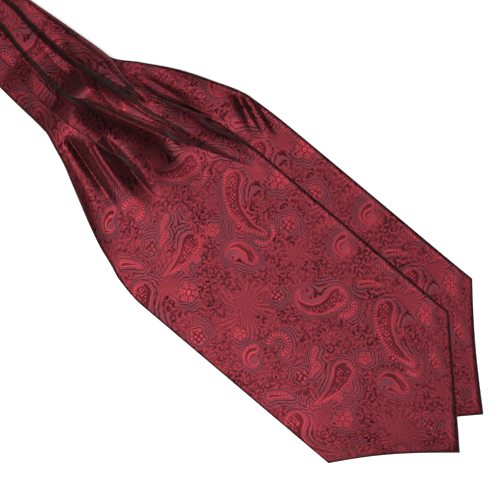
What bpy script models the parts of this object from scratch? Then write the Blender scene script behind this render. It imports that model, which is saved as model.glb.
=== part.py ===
# A silk cravat laid flat and folded in half at the neck: two wide pointed blades, one lying on the
# other, and a knife-pleated neckband that folds over at its far end. Sizes are in millimetres until
# the meshes are made. X runs across the blades, Y from the tips to the neck, Z up from the table.
import math
from collections import namedtuple

import bpy
import numpy as np

MM = 0.001

# Driving sizes
BLADE_WIDTH = 152.0  # straight part of each blade
TIP_DEPTH = 76.0  # a right-angled point, half as deep as the blade is wide
NECK_Y = 523.0  # outside of the fold at the back of the neck, above the front shoulders
SEAM_Y = 455.0  # where each blade's pleated throat is sewn to the neckband
BACK_SHIFT_X = 32.3  # the back blade lies this far to the right of the front one
BACK_SHIFT_Y = 5.2  # and this much higher up
WALL = 1.2  # two plies of silk and their interlining, pressed together
LAYER_GAP = 0.65  # between one layer of cloth and the next
SEAM_GAP = 0.4  # between pieces that are sewn together
FOLD_RADIUS = 0.8  # middle of the wall round the edge of a closed pleat
BEND_RADIUS = 1.4  # inside of the fold at the back of the neck
DRAPE_RAMP = 30.0  # the front blade comes down to the table over this width
DRAPE_LEDGE = 4.0  # after staying level for this far past the edge of the back one
FLAT_LEAD = 1.2  # level cloth on both sides of each fold
THROAT_Y = 300.0  # above this the front blade stops reaching for the table
THROAT_RAMP = 40.0

HALF_WIDTH = BLADE_WIDTH / 2
FRONT_TIP_X = -2.8  # the front point is pulled a little to the left
FRONT_TIP_Y = -TIP_DEPTH - 1.0
BACK_TIP_Y = FRONT_TIP_Y + BACK_SHIFT_Y
CHEVRON_TOP = 32.0  # rows run straight across above this height

# Outline: height above the shoulders, left edge and right edge. A row for each change of width.
Outline = namedtuple("Outline", "y left right")
NECK_OUTLINE = (
    Outline(455, -9.0, 47.5),
    Outline(490, -6.5, 44.0),
    Outline(523, -5.0, 42.0),
)
FRONT_OUTLINE = (
    Outline(-77, -HALF_WIDTH, HALF_WIDTH),
    Outline(190, -HALF_WIDTH, HALF_WIDTH),
    Outline(215, -72.3, 75.0),
    Outline(229, -67.2, 73.6),
    Outline(244, -62.1, 70.5),
    Outline(261, -54.5, 65.0),
    Outline(282, -43.8, 57.0),
    Outline(295, -37.0, 51.5),
    Outline(306, -31.2, 51.0),
    Outline(322, -24.8, 54.0),
    Outline(335, -20.3, 57.0),
    Outline(372, -18.0, 54.5),
    Outline(410, -14.5, 51.0),
) + NECK_OUTLINE
BACK_OUTLINE = (
    Outline(-77, BACK_SHIFT_X - HALF_WIDTH, BACK_SHIFT_X + HALF_WIDTH),
    Outline(190, BACK_SHIFT_X - HALF_WIDTH, BACK_SHIFT_X + HALF_WIDTH - 1.5),
    Outline(230, -38.0, 104.7),
    Outline(263, -29.0, 94.3),
    Outline(286, -23.0, 85.0),
    Outline(314, -18.0, 69.5),
    Outline(335, -15.5, 57.5),
    Outline(372, -15.0, 53.5),
    Outline(410, -13.0, 50.5),
) + NECK_OUTLINE

# A pleat's fold edge: height, its place across, how far it is closed (1 shut, 0 flat) and how deep it tucks.
Fold = namedtuple("Fold", "y x closed depth")
NECK_FOLDS = (
    (Fold(455, 6.0, 1.0, 5.5), Fold(523, 8.0, 1.0, 4.5)),
    (Fold(455, 23.0, 1.0, 5.5), Fold(523, 21.0, 1.0, 4.5)),
    (Fold(455, 38.0, 1.0, 3.0), Fold(523, 33.5, 1.0, 3.0)),
)
FRONT_FOLDS = (
    (
        Fold(-77, FRONT_TIP_X, 0.0, 6.0),
        Fold(205, -8.0, 0.0, 6.0),
        Fold(236, -1.0, 0.0, 6.0),
        Fold(262, 7.0, 0.2, 6.0),
        Fold(276, 5.5, 0.42, 6.0),
        Fold(287, 1.5, 0.58, 7.0),
        Fold(300, 0.1, 0.7, 7.0),
        Fold(326, -3.4, 0.92, 7.0),
        Fold(344, -4.0, 1.0, 7.0),
        Fold(402, 2.5, 1.0, 6.5),
    )
    + NECK_FOLDS[0],
    (
        Fold(-77, 24.0, 0.0, 9.0),
        Fold(205, 36.0, 0.0, 9.0),
        Fold(236, 44.0, 0.0, 9.0),
        Fold(260, 43.4, 0.45, 9.0),
        Fold(284, 36.2, 0.8, 9.0),
        Fold(317, 24.0, 0.95, 9.0),
        Fold(341, 14.0, 1.0, 8.0),
        Fold(364, 15.5, 1.0, 6.5),
        Fold(391, 18.5, 1.0, 6.0),
        Fold(420, 23.5, 1.0, 6.0),
    )
    + NECK_FOLDS[1],
    (
        Fold(-77, 50.0, 0.0, 4.0),
        Fold(205, 54.0, 0.0, 4.0),
        Fold(240, 60.5, 0.0, 4.0),
        Fold(268, 56.0, 0.0, 4.0),
        Fold(284, 52.5, 0.1, 4.0),
        Fold(300, 50.0, 0.45, 4.0),
        Fold(317, 44.0, 0.65, 4.0),
        Fold(337, 41.0, 0.8, 4.0),
        Fold(360, 38.0, 0.92, 4.0),
        Fold(397, 38.8, 1.0, 3.5),
        Fold(418, 41.0, 1.0, 3.0),
    )
    + NECK_FOLDS[2],
)
BACK_FOLDS = (
    (
        Fold(-77, BACK_SHIFT_X, 0.0, 6.0),
        Fold(215, 22.0, 0.0, 6.0),
        Fold(255, 14.0, 0.2, 6.0),
        Fold(290, 9.0, 0.5, 6.0),
        Fold(320, 6.0, 0.8, 6.0),
        Fold(350, 3.5, 1.0, 6.0),
    )
    + NECK_FOLDS[0],
    (
        Fold(-77, 58.0, 0.0, 6.0),
        Fold(215, 52.0, 0.0, 6.0),
        Fold(255, 44.0, 0.2, 6.0),
        Fold(290, 36.0, 0.5, 6.0),
        Fold(320, 27.0, 0.8, 6.0),
        Fold(350, 21.0, 1.0, 6.0),
    )
    + NECK_FOLDS[1],
    (
        Fold(-77, 84.0, 0.0, 4.0),
        Fold(215, 83.0, 0.0, 4.0),
        Fold(255, 72.0, 0.2, 4.0),
        Fold(290, 60.0, 0.5, 4.0),
        Fold(320, 48.0, 0.8, 4.0),
        Fold(350, 38.5, 1.0, 4.0),
    )
    + NECK_FOLDS[2],
)

# How a half's pleats open: length of each rounded turn when flat, length of the straight stretch between
# the turns when flat, how suddenly the tuck fills, and how late the cloth leaves the level of the fold,
# between two folds and at the right edge.
Opening = namedtuple("Opening", "turn straight power late late_edge")
FRONT_OPENING = Opening(3.2, 1.5, 8, 2.8, 5.0)
BACK_OPENING = Opening(math.pi * FOLD_RADIUS, 0.8, 10, 2.2, 1.0)

# The gathers stand in a soft hill where the front blade opens out: its middle, half widths and height.
Hill = namedtuple("Hill", "x y across along height")
FRONT_HILL = Hill(22.0, 292.0, 44.0, 62.0, 9.0)
BACK_HILL = Hill(80.0, 262.0, 44.0, 50.0, 3.6)

# Creases run out from the throat: both ends, how far the middle bows to the left, half widths on the
# left and right side, and height, below zero for a trough.
Crease = namedtuple("Crease", "x0 y0 x1 y1 bow left right height")
FRONT_CREASES = (
    Crease(0.0, 385.0, -24.0, 222.0, 0.0, 17.0, 20.0, 3.2),
    Crease(-33.0, 292.0, -70.0, 196.0, -0.5, 7.0, 7.0, 1.2),
    Crease(-12.0, 320.0, -33.0, 244.0, 0.0, 5.0, 5.0, -5.0),
    Crease(-3.0, 300.0, -18.0, 238.0, -1.0, 3.5, 3.5, 1.4),
    Crease(6.0, 296.0, -6.0, 228.0, 0.0, 7.0, 3.5, -6.0),
    Crease(17.0, 330.0, 66.0, 182.0, -3.0, 20.0, 2.5, -9.0),
    Crease(42.0, 306.0, 74.0, 180.0, 0.0, 8.0, 22.0, 5.0),
    Crease(66.0, 248.0, 80.0, 200.0, 0.0, 3.0, 5.0, -5.0),
    Crease(55.0, 336.0, 51.0, 286.0, 0.0, 3.8, 3.8, 2.4),
    Crease(41.0, 396.0, 18.0, 336.0, 3.0, 6.5, 6.5, -7.0),
    Crease(31.0, 372.0, 42.0, 314.0, 0.0, 3.8, 3.8, 2.6),
    Crease(35.0, 364.0, 43.0, 304.0, 0.0, 6.0, 2.5, -6.0),
)
BACK_CREASES = (
    Crease(66.0, 308.0, 92.0, 226.0, 1.5, 7.0, 9.0, 1.2),
    Crease(60.0, 312.0, 82.0, 198.0, -3.0, 4.5, 7.0, -4.0),
    Crease(99.0, 240.0, 81.0, 198.0, 0.0, 3.4, 3.4, -2.6),
    Crease(104.0, 236.0, 89.0, 194.0, 0.0, 3.6, 3.6, 1.8),
    Crease(-4.0, 306.0, -26.0, 244.0, 0.0, 6.0, 6.0, 1.4),
)
RIDGE_POWER = 4  # how flat the tops of ridges are, and the bottoms of troughs
TROUGH_POWER = 1.5
CREASE_ONSET = 0.6  # below 1 a crease is highest nearer its start
CREASE_NARROW = 0.75  # of its half width at the start, widening by the next number towards its end
CREASE_WIDENING = 0.5
CREASE_BLUR = 0.5  # troughs bottom out softly within this depth
EDGE_ANGLE = math.radians(50)  # the cut edges shade sharp, the pleats and creases smooth

# Rows of each piece: a few in the plain blade, many where the pleats open, a few along the pressed band.
PLAIN_ROWS = (75.0, 120.0, 160.0, 190.0)
THROAT_START = 205.0
THROAT_END = 350.0
BAND_START = 360.0
BAND_ROWS = 6
NECK_RUN_ROWS = 5
NECK_BEND_STEPS = 8

# How finely each piece is drawn: segments of its outer stripes, of an inner one, of a turn and its straight.
Detail = namedtuple("Detail", "left right stripe turn straight")
FRONT_DETAIL = Detail(12, 6, 7, 3, 2)
BACK_DETAIL = Detail(5, 9, 4, 3, 1)
NECK_DETAIL = Detail(3, 3, 4, 3, 1)

# Each point: where its tip lies and how far the edges left and right of it curve in.
Point = namedtuple("Point", "x y dip_left dip_right")
FRONT_POINT = Point(FRONT_TIP_X, FRONT_TIP_Y, 4.5, 0.0)
BACK_POINT = Point(BACK_SHIFT_X, BACK_TIP_Y, 0.0, 2.5)

Half = namedtuple("Half", "outline folds opening hill creases point")
FRONT = Half(FRONT_OUTLINE, FRONT_FOLDS, FRONT_OPENING, FRONT_HILL, FRONT_CREASES, FRONT_POINT)
BACK = Half(BACK_OUTLINE, BACK_FOLDS, BACK_OPENING, BACK_HILL, BACK_CREASES, BACK_POINT)


def clear_scene():
    for obj in list(bpy.data.objects):
        bpy.data.objects.remove(obj)


def column(table, name, heights):
    """One column of a table as a smooth curve of height that never overshoots its rows."""
    y = np.array([row.y for row in table], float)
    v = np.array([getattr(row, name) for row in table], float)
    step = np.diff(y)
    rate = np.diff(v) / step
    product = rate[:-1] * rate[1:]
    total = np.where(product > 0, rate[:-1] + rate[1:], 1.0)
    slope = np.concatenate([rate[:1], np.where(product > 0, 2 * product / total, 0.0), rate[-1:]])
    k = np.clip(np.searchsorted(y, heights) - 1, 0, len(y) - 2)
    t = np.clip((heights - y[k]) / step[k], 0, 1)
    rise = v[k + 1] - v[k]
    bend = (1 - 2 * t) * rise
    mixed = slope[k] * step[k] * (1 - t) - slope[k + 1] * step[k] * t
    return v[k] + rise * t + t * (1 - t) * (mixed - bend)


def smooth(t):
    """0 below 0, 1 above 1 and a soft step between."""
    t = np.clip(t, 0, 1)
    return t * t * t * (t * (6 * t - 15) + 10)


def turn(closed, length, share):
    """A point on a turn that starts level and bends by closed x 180 degrees over its length."""
    angle = math.pi * closed * share
    half = angle / 2
    along = length * share * np.sinc(angle / math.pi)
    rise = length * share * np.sin(half) * np.sinc(half / math.pi)
    return along, rise


def pleat(half, index, heights):
    """What a pleat measures at each height: edge, closedness, turn, straight, shift across and rise."""
    table = half.folds[index]
    closed = np.clip(column(table, "closed", heights), 0, 1)
    depth = column(table, "depth", heights)
    opening = half.opening
    length = opening.turn + (math.pi * FOLD_RADIUS - opening.turn) * closed
    straight = opening.straight + depth * closed**opening.power
    along, rise = turn(closed, length, 1.0)
    shift = 2 * along + straight * np.cos(math.pi * closed)
    height = 2 * rise + straight * np.sin(math.pi * closed)
    return column(table, "x", heights), closed, length, straight, shift, height


def rise_of(half, heights):
    """How high the folds stand at each height, the tallest of the three."""
    return np.max([pleat(half, i, heights)[5] for i in range(len(half.folds))], axis=0)


def section(half, heights, under, detail):
    """The middle of the wall across the garment, as x and z for each height and column.

    The line runs level from the left edge, turns up, back and over at each fold, and comes down again
    before the next. Where under is 1 the outer stripes keep the level of the folds."""
    heights = np.asarray(heights, float)
    left = column(half.outline, "left", heights)
    right = column(half.outline, "right", heights)
    pleats = [pleat(half, i, heights) for i in range(len(half.folds))]
    xs, zs = [], []
    start_x, start_z = left, under * pleats[0][5]
    lead = np.full_like(heights, FLAT_LEAD)
    for number, (edge, closed, length, straight, shift, height) in enumerate(pleats):
        foot = edge - shift
        trail = np.maximum(-shift, 0) + FLAT_LEAD
        first, last = start_x + lead, foot - trail
        count = detail.left if number == 0 else detail.stripe
        xs += [start_x, first]
        zs += [start_z, start_z]
        for share in np.linspace(0, 1, count - 1)[1:]:
            xs.append(first + (last - first) * share)
            zs.append(start_z * (1 - smooth(share**half.opening.late)))
        xs.append(foot)
        zs.append(np.zeros_like(foot))
        for share in np.linspace(0, 1, detail.turn + 1)[1:]:
            along, rise = turn(closed, length, share)
            xs.append(foot + along)
            zs.append(rise)
        along, rise = turn(closed, length, 1.0)
        for share in np.linspace(0, 1, detail.straight + 1)[1:]:
            xs.append(foot + along + straight * share * np.cos(math.pi * closed))
            zs.append(rise + straight * share * np.sin(math.pi * closed))
        for share in np.linspace(1, 0, detail.turn + 1)[1:-1]:
            along, rise = turn(closed, length, share)
            xs.append(edge - along)
            zs.append(height - rise)
        start_x, start_z = edge, height
        lead = np.maximum(-shift, 0) + FLAT_LEAD
    for share in np.linspace(0, 1, detail.right + 1):
        xs.append(start_x + (right - start_x) * share)
        fall = (1 - under) * smooth(share**half.opening.late_edge)
        zs.append(start_z * (1 - fall))
    return np.stack(xs, axis=1), np.stack(zs, axis=1)


def gathers(half, x, y):
    """Height of the soft hill and its creases at a place, never below the lay of the cloth.

    Across its bowed line a trough is a narrow bell curve and a ridge a flat-topped one, each as wide on
    either side as its row says. Along the line it rises fast, dies away slowly and grows wider."""
    hill = half.hill
    across = (x - hill.x) / hill.across
    along = (y - hill.y) / hill.along
    total = hill.height * np.exp(-across * across - along * along)
    for crease in half.creases:
        run_x = crease.x1 - crease.x0
        run_y = crease.y1 - crease.y0
        length = math.hypot(run_x, run_y)
        share = ((x - crease.x0) * run_x + (y - crease.y0) * run_y) / length**2
        share = np.clip(share, 0, 1)
        aside = 4 * crease.bow * share * (1 - share) / length
        away_x = x - (crease.x0 + run_x * share - run_y * aside)
        away_y = y - (crease.y0 + run_y * share + run_x * aside)
        width = np.where(away_y * run_x > away_x * run_y, crease.right, crease.left)
        away = np.hypot(away_x, away_y) / (width * (CREASE_NARROW + CREASE_WIDENING * share))
        power = RIDGE_POWER if crease.height > 0 else TROUGH_POWER
        total += crease.height * np.sin(math.pi * share**CREASE_ONSET) * np.exp(-(away**power))
    return (total + np.sqrt(total * total + CREASE_BLUR**2) - CREASE_BLUR) / 2


def lay_on_back(x, y, heights):
    """How high the front lies: on the back blade inside its outline, down on the table beyond it."""
    top = rise_of(BACK, heights) + WALL + LAYER_GAP + gathers(BACK, x, y)
    inside_left = x - column(BACK_OUTLINE, "left", y)
    inside_point = ((x - BACK_SHIFT_X) + (y - BACK_TIP_Y)) / math.sqrt(2)
    inside = np.minimum(inside_left, inside_point)
    throat = smooth((y - THROAT_Y) / THROAT_RAMP)
    held = smooth(1 + (inside + DRAPE_LEDGE) / DRAPE_RAMP)
    return top * (held + (1 - held) * throat)


def rows_with_point(half, heights, x, fade):
    """Y of each point: rows bend down to the blade's point and run straight across above it."""
    point = half.point
    reach = np.abs(x - point.x)
    dip = np.where(x < point.x, point.dip_left, point.dip_right)
    dip = dip * np.sin(np.clip(reach / HALF_WIDTH, 0, 1) * math.pi)
    return heights[:, None] + fade[:, None] * (reach + dip)


def blade_grid(half, heights, under, detail):
    """Middle of a blade's wall as a grid of points, with its pleated throat."""
    heights = np.asarray(heights, float)
    fade = np.clip((CHEVRON_TOP - heights) / (CHEVRON_TOP - half.point.y), 0, 1)
    x, z = section(half, heights, under, detail)
    y = rows_with_point(half, heights, x, fade)
    if under:
        z = rise_of(half, heights)[:, None] - z
    else:
        z = z + lay_on_back(x, y, heights[:, None])
    z = z + gathers(half, x, y) + WALL / 2
    return np.stack([x, y, z], axis=2)


def neck_grid(detail):
    """Middle of the neckband's wall: out along the top, round the fold and back along the table."""
    stack = 4 * FOLD_RADIUS + WALL
    centre_y = NECK_Y - BEND_RADIUS - stack
    centre_z = stack + BEND_RADIUS
    out = np.linspace(SEAM_Y + SEAM_GAP, centre_y, NECK_RUN_ROWS)
    lift = smooth((out - out[0]) / (out[-1] - out[0]))
    low = stack + LAYER_GAP
    high = centre_z + BEND_RADIUS
    bend = np.linspace(0, math.pi, NECK_BEND_STEPS + 1)[1:-1]
    y = np.concatenate([out, centre_y + BEND_RADIUS * np.sin(bend), out[::-1]])
    z = np.concatenate(
        [low + (high - low) * lift, centre_z + BEND_RADIUS * np.cos(bend), np.full(len(out), stack)]
    )
    angle = np.concatenate([np.zeros(len(out)), bend, np.full(len(out), math.pi)])
    heights = np.concatenate([out, np.full(len(bend), centre_y), out[::-1]])
    under = smooth(angle / math.pi)
    x, rise = section(FRONT, heights, under, detail)
    rise = rise + WALL / 2
    return np.stack(
        [
            x,
            y[:, None] + np.sin(angle)[:, None] * rise,
            z[:, None] + np.cos(angle)[:, None] * rise,
        ],
        axis=2,
    )


def wall(grid):
    """Both faces of the wall, half its thickness either side of its middle."""
    across = np.gradient(grid, axis=1)
    along = np.gradient(grid, axis=0)
    normal = np.cross(across, along)
    normal /= np.linalg.norm(normal, axis=2, keepdims=True)
    return grid + normal * WALL / 2, grid - normal * WALL / 2


def strip(first, second):
    """Quads between two equal runs of point numbers."""
    return np.stack([first[:-1], first[1:], second[1:], second[:-1]], axis=1)


def wall_faces(rows, columns):
    """Quads of the closed wall: upper face, lower face and the edges all round."""
    top = np.arange(rows * columns).reshape(rows, columns)
    low = top + rows * columns
    faces = []
    for r in range(rows - 1):
        faces.append(strip(top[r], top[r + 1]))
        faces.append(strip(low[r + 1], low[r]))
    faces.append(strip(low[0], top[0]))
    faces.append(strip(top[-1], low[-1]))
    faces.append(strip(top[:, 0], low[:, 0]))
    faces.append(strip(low[:, -1], top[:, -1]))
    return np.concatenate(faces)


def silk_material(name, colour):
    """Satin silk: one ground colour with a soft sheen."""
    material = bpy.data.materials.new(name)
    material.use_nodes = True
    shader = material.node_tree.nodes["Principled BSDF"]
    shader.inputs["Base Color"].default_value = (*colour, 1.0)
    shader.inputs["Roughness"].default_value = 0.42
    shader.inputs["Metallic"].default_value = 0.0
    shader.inputs["Sheen Weight"].default_value = 0.3
    return material


def add_piece(name, grid, origin, colour):
    """The closed wall round a grid as an object, in metres from the origin, resting on the table."""
    top, low = wall(grid)
    points = np.concatenate([top.reshape(-1, 3), low.reshape(-1, 3)]) - origin
    points[:, 2] = np.maximum(points[:, 2], 0.0)
    rows, columns = grid.shape[:2]
    mesh = bpy.data.meshes.new(name)
    mesh.from_pydata((points * MM).tolist(), [], wall_faces(rows, columns).tolist())
    mesh.update()
    mesh.shade_smooth()
    mesh.set_sharp_from_angle(angle=EDGE_ANGLE)
    mesh.materials.append(silk_material(name, colour))
    obj = bpy.data.objects.new(name, mesh)
    bpy.context.scene.collection.objects.link(obj)
    return obj


def heights_of(tip_y, point_rows, throat_step):
    """Heights of a blade's rows: a few in the point and blade, close together where the pleats open."""
    point = np.linspace(tip_y, CHEVRON_TOP, point_rows)
    throat = np.arange(THROAT_START, THROAT_END, throat_step)
    band = np.linspace(BAND_START, SEAM_Y, BAND_ROWS)
    return np.concatenate([point, PLAIN_ROWS, throat, band])


def main():
    clear_scene()
    front = blade_grid(FRONT, heights_of(FRONT_TIP_Y, 9, 7.0), 0.0, FRONT_DETAIL)
    back = blade_grid(BACK, heights_of(BACK_TIP_Y, 5, 10.0), 1.0, BACK_DETAIL)
    neck = neck_grid(NECK_DETAIL)
    walls = [face.reshape(-1, 3) for grid in (front, back, neck) for face in wall(grid)]
    every = np.concatenate(walls)
    origin = (every.min(axis=0) + every.max(axis=0)) / 2
    origin[2] = 0.0
    add_piece("front_blade", front, origin, (0.33, 0.03, 0.05))
    add_piece("neckband", neck, origin, (0.30, 0.03, 0.05))
    add_piece("back_blade", back, origin, (0.27, 0.02, 0.04))


main()
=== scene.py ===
# Silk paisley cravat, laid flat and folded in half at the back of the neck, on a pale table.
# Sizes are millimetres until a mesh is made. X runs across the blades, Y from tips to neck, Z up.
import math

import bpy
import numpy as np
from mathutils import Matrix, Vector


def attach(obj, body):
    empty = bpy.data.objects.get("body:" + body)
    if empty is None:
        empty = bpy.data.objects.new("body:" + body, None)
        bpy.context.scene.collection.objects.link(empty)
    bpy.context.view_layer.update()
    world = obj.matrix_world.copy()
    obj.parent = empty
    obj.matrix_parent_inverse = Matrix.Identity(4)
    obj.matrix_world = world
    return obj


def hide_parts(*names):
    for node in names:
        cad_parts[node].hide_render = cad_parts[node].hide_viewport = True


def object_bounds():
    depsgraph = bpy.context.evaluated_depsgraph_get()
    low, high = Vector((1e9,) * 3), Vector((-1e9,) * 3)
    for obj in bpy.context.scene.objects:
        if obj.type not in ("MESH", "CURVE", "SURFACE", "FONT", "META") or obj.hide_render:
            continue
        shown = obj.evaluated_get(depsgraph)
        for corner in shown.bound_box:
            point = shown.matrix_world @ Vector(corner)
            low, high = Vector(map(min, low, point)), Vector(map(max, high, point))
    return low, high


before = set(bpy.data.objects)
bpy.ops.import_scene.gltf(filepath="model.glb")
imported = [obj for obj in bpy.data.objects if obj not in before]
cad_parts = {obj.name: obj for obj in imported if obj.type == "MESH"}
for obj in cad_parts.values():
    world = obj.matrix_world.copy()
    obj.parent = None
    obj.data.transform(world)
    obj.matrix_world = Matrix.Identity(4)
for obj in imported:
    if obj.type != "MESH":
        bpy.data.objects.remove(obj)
boxAtLoad = [list(corner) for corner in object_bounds()]
print("frame loaded")

mm = 0.001
uvUnit = 100.0  # mm of cloth in one unit of the UV map

cloth = {
    "bladeWidth": 152.0,
    "wall": 1.2,  # two plies and the interlining
    "layerGap": 0.65,
    "seamGap": 0.4,
    "foldRadius": 0.8,  # middle of the wall round a shut pleat
    "bendRadius": 1.4,  # inside of the fold at the back of the neck
    "edgeRound": 0.9,  # the edges are rounded over this width
    "edgeRoll": 0.22,  # and the seam inside them stands up this much
    "edgeLeast": 0.04,  # square of the share of the wall that is left at the very edge
    "rollInside": 2.6,  # how far in from the edge that seam runs
    "rollWidth": 1.1,
    "neckY": 523.0,
    "seamY": 455.0,
    "throatY": 350.0,  # the pleats are shut above this
    "flareY": 195.0,  # and the sides are straight below this
    "backShiftX": 32.3,
    "chevronTop": 32.0,  # rows of the grid run straight across above this
    "drapeRamp": 30.0,  # the front blade comes down to the table over this width
    "drapeLedge": 4.0,  # which starts this far outside the back blade
    "throatLift": (300.0, 40.0),  # where it stays up all the way across, and over what height
    "flatLead": 1.2,  # level stretch at each end of a stripe
    "footCrowd": 0.15,  # how much closer the steps stand towards a pleat's foot
}
halfWidth = cloth["bladeWidth"] / 2
frontTip = (-2.8, -77.0)
backTip = (cloth["backShiftX"], -71.8)

# the CAD box starts at the front blade's left edge and at its tip
middleX = boxAtLoad[0][0] / mm + halfWidth
middleY = boxAtLoad[0][1] / mm - frontTip[1]

neckOutline = [(455, -9.0, 47.5), (490, -6.5, 44.0), (523, -5.0, 42.0)]
neckFolds = [
    [(455, 6.0, 1.0, 5.5), (523, 8.0, 1.0, 4.5)],
    [(455, 23.0, 1.0, 5.5), (523, 21.0, 1.0, 4.5)],
    [(455, 38.0, 1.0, 3.0), (523, 33.5, 1.0, 3.0)],
]

creaseShape = {
    "onset": 0.6,  # below 1 a crease rises faster at its first end than it dies away at its second
    "narrow": 0.75,  # share of its width at its first end
    "widening": 0.5,  # and how much of a width is added by its second
    "ridgePower": 4,  # flat-topped
    "troughPower": 1.5,  # sharp
    "blur": 0.5,  # how softly the sum bottoms out
}

# outline rows: height, left edge, right edge. Fold rows: height, place across, how far shut, depth.
# hill: middle, half widths and height. Crease rows: both ends, bow to the left, half width on the
# left, half width on the right, and height, which is below 0 for a trough. opening: turn when
# flat, straight when flat, how suddenly the tuck fills, how late the cloth leaves the level of a
# fold, and how late the stripe at the right edge does.
frontBlade = {
    "tip": frontTip,
    "dips": (4.5, 0.0),
    "outline": [
        (-77, -halfWidth, halfWidth),
        (190, -halfWidth, halfWidth),
        (215, -72.3, 75.0),
        (229, -67.2, 73.6),
        (244, -62.1, 70.5),
        (261, -54.5, 65.0),
        (282, -43.8, 57.0),
        (295, -37.0, 51.5),
        (306, -31.2, 51.0),
        (322, -24.8, 54.0),
        (335, -20.3, 57.0),
        (372, -18.0, 54.5),
        (410, -14.5, 51.0),
    ]
    + neckOutline,
    "folds": [
        [
            (-77, -2.8, 0.0, 6.0),
            (205, -8.0, 0.0, 6.0),
            (236, -1.0, 0.0, 6.0),
            (262, 7.0, 0.2, 6.0),
            (276, 5.5, 0.42, 6.0),
            (287, 1.5, 0.58, 7.0),
            (300, 0.1, 0.7, 7.0),
            (326, -3.4, 0.92, 7.0),
            (344, -4.0, 1.0, 7.0),
            (402, 2.5, 1.0, 6.5),
        ]
        + neckFolds[0],
        [
            (-77, 24.0, 0.0, 9.0),
            (205, 36.0, 0.0, 9.0),
            (236, 44.0, 0.0, 9.0),
            (260, 43.4, 0.45, 9.0),
            (284, 36.2, 0.8, 9.0),
            (317, 24.0, 0.95, 9.0),
            (341, 14.0, 1.0, 8.0),
            (364, 15.5, 1.0, 6.5),
            (391, 18.5, 1.0, 6.0),
            (420, 23.5, 1.0, 6.0),
        ]
        + neckFolds[1],
        [
            (-77, 50.0, 0.0, 4.0),
            (205, 54.0, 0.0, 4.0),
            (240, 60.5, 0.0, 4.0),
            (268, 56.0, 0.0, 4.0),
            (284, 52.5, 0.1, 4.0),
            (300, 50.0, 0.45, 4.0),
            (317, 44.0, 0.65, 4.0),
            (337, 41.0, 0.8, 4.0),
            (360, 38.0, 0.92, 4.0),
            (397, 38.8, 1.0, 3.5),
            (418, 41.0, 1.0, 3.0),
        ]
        + neckFolds[2],
    ],
    "opening": (3.2, 1.5, 8, 2.8, 5.0),
    "hill": (22.0, 292.0, 44.0, 62.0, 9.0),
    "creases": [
        (0.0, 385.0, -24.0, 222.0, 0.0, 17.0, 20.0, 3.2),
        (-33.0, 292.0, -70.0, 196.0, -0.5, 7.0, 7.0, 1.2),
        (-12.0, 320.0, -33.0, 244.0, 0.0, 5.0, 5.0, -5.0),
        (-3.0, 300.0, -18.0, 238.0, -1.0, 3.5, 3.5, 1.4),
        (6.0, 296.0, -6.0, 228.0, 0.0, 7.0, 3.5, -6.0),
        (17.0, 330.0, 66.0, 182.0, -3.0, 20.0, 2.5, -9.0),
        (42.0, 306.0, 74.0, 180.0, 0.0, 8.0, 22.0, 5.0),
        (66.0, 248.0, 80.0, 200.0, 0.0, 3.0, 5.0, -5.0),
        (55.0, 336.0, 51.0, 286.0, 0.0, 3.8, 3.8, 2.4),
        (41.0, 396.0, 18.0, 336.0, 3.0, 6.5, 6.5, -7.0),
        (31.0, 372.0, 42.0, 314.0, 0.0, 3.8, 3.8, 2.6),
        (35.0, 364.0, 43.0, 304.0, 0.0, 6.0, 2.5, -6.0),
    ],
    "rows": (26, 42, 84, 26),  # of the point, the blade, the throat and the band
    "samples": {"left": 46, "stripe": 24, "turn": 9, "straight": 5, "right": 26},
}

backBlade = {
    "tip": backTip,
    "dips": (0.0, 2.5),
    "outline": [
        (-77, backTip[0] - halfWidth, backTip[0] + halfWidth),
        (190, backTip[0] - halfWidth, backTip[0] + halfWidth - 1.5),
        (230, -38.0, 104.7),
        (263, -29.0, 94.3),
        (286, -23.0, 85.0),
        (314, -18.0, 69.5),
        (335, -15.5, 57.5),
        (372, -15.0, 53.5),
        (410, -13.0, 50.5),
    ]
    + neckOutline,
    "folds": [
        [
            (-77, backTip[0], 0.0, 6.0),
            (215, 22.0, 0.0, 6.0),
            (255, 14.0, 0.2, 6.0),
            (290, 9.0, 0.5, 6.0),
            (320, 6.0, 0.8, 6.0),
            (350, 3.5, 1.0, 6.0),
        ]
        + neckFolds[0],
        [
            (-77, 58.0, 0.0, 6.0),
            (215, 52.0, 0.0, 6.0),
            (255, 44.0, 0.2, 6.0),
            (290, 36.0, 0.5, 6.0),
            (320, 27.0, 0.8, 6.0),
            (350, 21.0, 1.0, 6.0),
        ]
        + neckFolds[1],
        [
            (-77, 84.0, 0.0, 4.0),
            (215, 83.0, 0.0, 4.0),
            (255, 72.0, 0.2, 4.0),
            (290, 60.0, 0.5, 4.0),
            (320, 48.0, 0.8, 4.0),
            (350, 38.5, 1.0, 4.0),
        ]
        + neckFolds[2],
    ],
    "opening": (math.pi * cloth["foldRadius"], 0.8, 10, 2.2, 1.0),
    "hill": (80.0, 262.0, 44.0, 50.0, 3.6),
    "creases": [
        (66.0, 308.0, 92.0, 226.0, 1.5, 7.0, 9.0, 1.2),
        (60.0, 312.0, 82.0, 198.0, -3.0, 4.5, 7.0, -4.0),
        (99.0, 240.0, 81.0, 198.0, 0.0, 3.4, 3.4, -2.6),
        (104.0, 236.0, 89.0, 194.0, 0.0, 3.6, 3.6, 1.8),
        (-4.0, 306.0, -26.0, 244.0, 0.0, 6.0, 6.0, 1.4),
    ],
    "rows": (26, 42, 70, 26),
    "samples": {"left": 40, "stripe": 20, "turn": 8, "straight": 3, "right": 34},
}

neckband = {
    "runRows": 26,
    "bendRows": 19,
    "samples": {"left": 12, "stripe": 14, "turn": 9, "straight": 4, "right": 12},
}


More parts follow.
